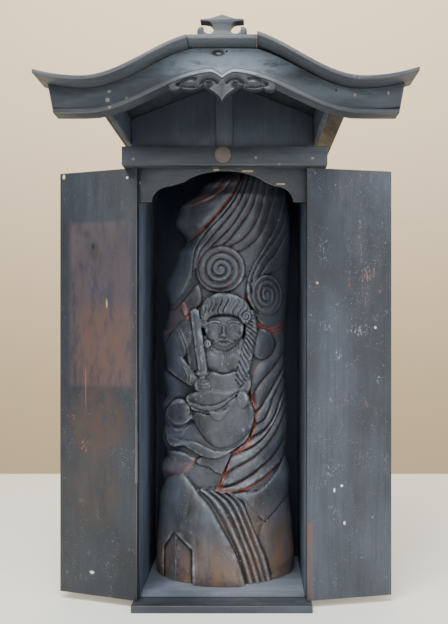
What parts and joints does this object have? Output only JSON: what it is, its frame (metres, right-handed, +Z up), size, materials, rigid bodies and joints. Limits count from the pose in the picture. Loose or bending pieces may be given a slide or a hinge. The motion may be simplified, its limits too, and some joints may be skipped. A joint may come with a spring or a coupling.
{
  "type": "folding shrine box",
  "caption": "Tall wooden cabinet shrine with two pin-hung doors, a wave-gabled roof and a carved guardian figure column inside.",
  "frame": {"origin": "centre of the base board's underside, which the shrine stands on", "axes": "+Z up, -Y towards the viewer in front of the doors, +X to the viewer's right"},
  "size_m": [0.489, 0.452, 0.7709],
  "materials": {
    "inked_wood": "worn black ink stain, satin",
    "inner_wood": "dark ink stain, dull",
    "carved_wood": "rubbed black stain with traces of red pigment in the cuts",
    "boss_wood": "bare brown, granular"
  },
  "bodies": {
    "shrine": {"base_board": "inked_wood", "floor_board": "inner_wood", "ceiling_board": "inner_wood", "left_wall": "inked_wood", "right_wall": "inked_wood", "back_wall": "inner_wood", "arch_board": "inked_wood", "lintel": "inked_wood", "lintel_boss": "boss_wood", "left_roof_side": "inked_wood", "right_roof_side": "inked_wood", "gable_panel": "inked_wood", "back_gable": "inked_wood", "gable_post": "inked_wood", "left_roof_plank": "inked_wood", "right_roof_plank": "inked_wood", "ridge_board": "inked_wood", "bargeboard": "inked_wood", "gable_pendant": "inked_wood", "left_wave_board": "inked_wood", "right_wave_board": "inked_wood", "ridge_plate": "inked_wood", "ridge_ornament": "inked_wood", "guardian_figure": "carved_wood"},
    "left_door_leaf": {"left_door": "inked_wood"},
    "right_door_leaf": {"right_door": "inked_wood"}
  },
  "joints": [
    {"name": "left_door_hinge", "type": "hinge", "parent": "shrine", "child": "left_door_leaf", "pos_m": [-0.1245, -0.0945, 0.32], "axis": [0, 0, 1], "range_deg": [-4, 200]},
    {"name": "right_door_hinge", "type": "hinge", "parent": "shrine", "child": "right_door_leaf", "pos_m": [0.1245, -0.0945, 0.32], "axis": [0, 0, 1], "range_deg": [-192, 12]}
  ]
}
